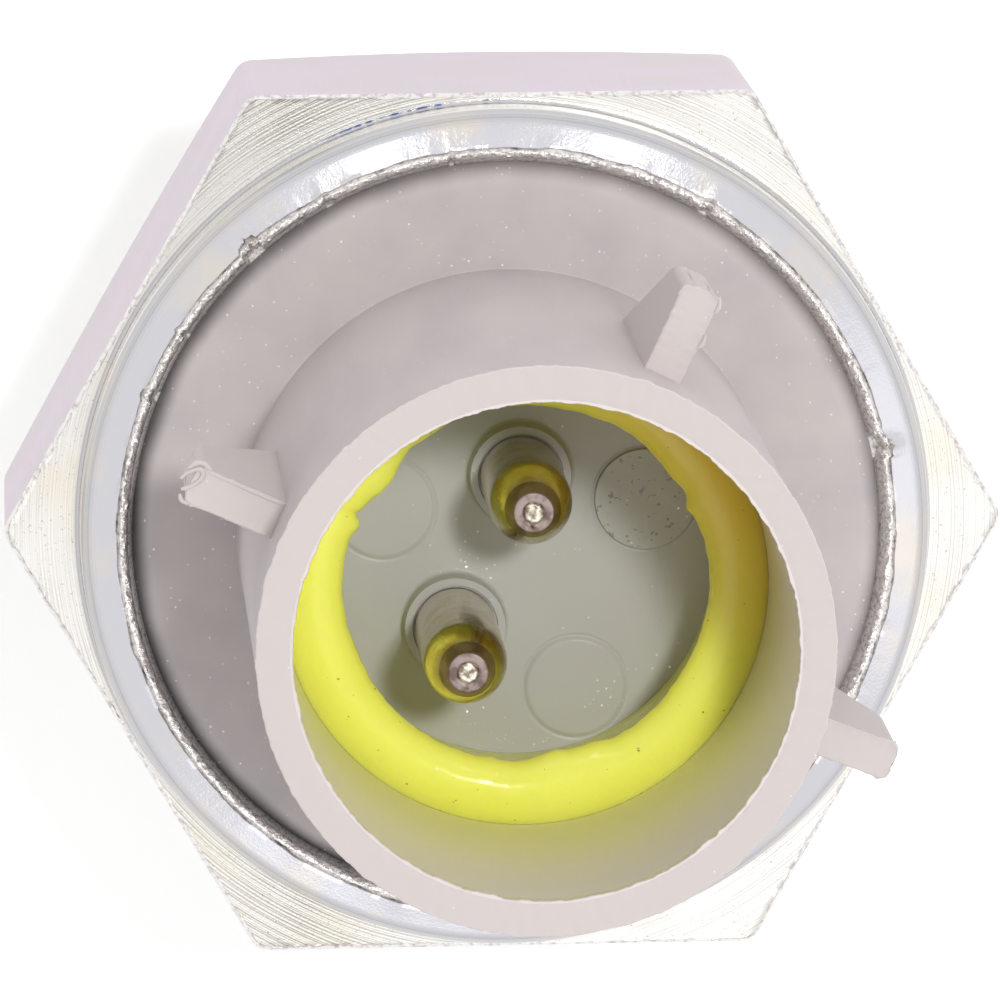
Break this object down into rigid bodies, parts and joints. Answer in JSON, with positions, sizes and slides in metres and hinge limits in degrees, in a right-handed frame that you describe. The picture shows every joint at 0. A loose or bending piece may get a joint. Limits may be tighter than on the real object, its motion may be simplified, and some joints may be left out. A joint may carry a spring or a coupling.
{
  "type": "knock sensor",
  "caption": "Screw-in engine knock sensor with a hexagon body, a threaded stud and a keyed round two-pin connector.",
  "frame": {"origin": "centre of the hexagon's seat face, which meets the engine block", "axes": "+Z along the stud's axis, out of the connector; -Z down the stud; flats of the hexagon face +Y and -Y"},
  "size_m": [0.031, 0.027, 0.0449],
  "materials": {
    "zinc_plated_steel": "turned, bright zinc plated",
    "grey_moulding": "moulded, glass filled, satin",
    "tinned_brass": "turned, tin plated",
    "yellow_silicone": "moulded, slightly glossy",
    "black_rubber": "moulded, satin",
    "insulating_film": "smooth film",
    "contact_brass": "punched sheet",
    "piezo_ceramic": "fired ceramic with silvered faces",
    "turned_steel": "turned",
    "spring_steel": "blued",
    "resistor_enamel": "lacquered",
    "tinned_wire": "drawn, tinned"
  },
  "bodies": {
    "root": {"housing": "zinc_plated_steel", "connector_body": "grey_moulding", "terminal_pin_a": "tinned_brass", "terminal_pin_b": "tinned_brass", "plug_seal": "yellow_silicone", "flange_o_ring": "black_rubber", "insulating_sleeve": "insulating_film", "lower_insulator": "insulating_film", "lower_contact_plate": "contact_brass", "piezo_ring": "piezo_ceramic", "upper_contact_plate": "contact_brass", "upper_insulator": "insulating_film", "seismic_mass": "turned_steel", "disc_spring": "spring_steel", "clamp_nut": "turned_steel", "lead_strap_a": "contact_brass", "lead_strap_b": "contact_brass", "shunt_resistor": "resistor_enamel", "resistor_wire_a": "tinned_wire", "resistor_wire_b": "tinned_wire"}
  },
  "joints": []
}
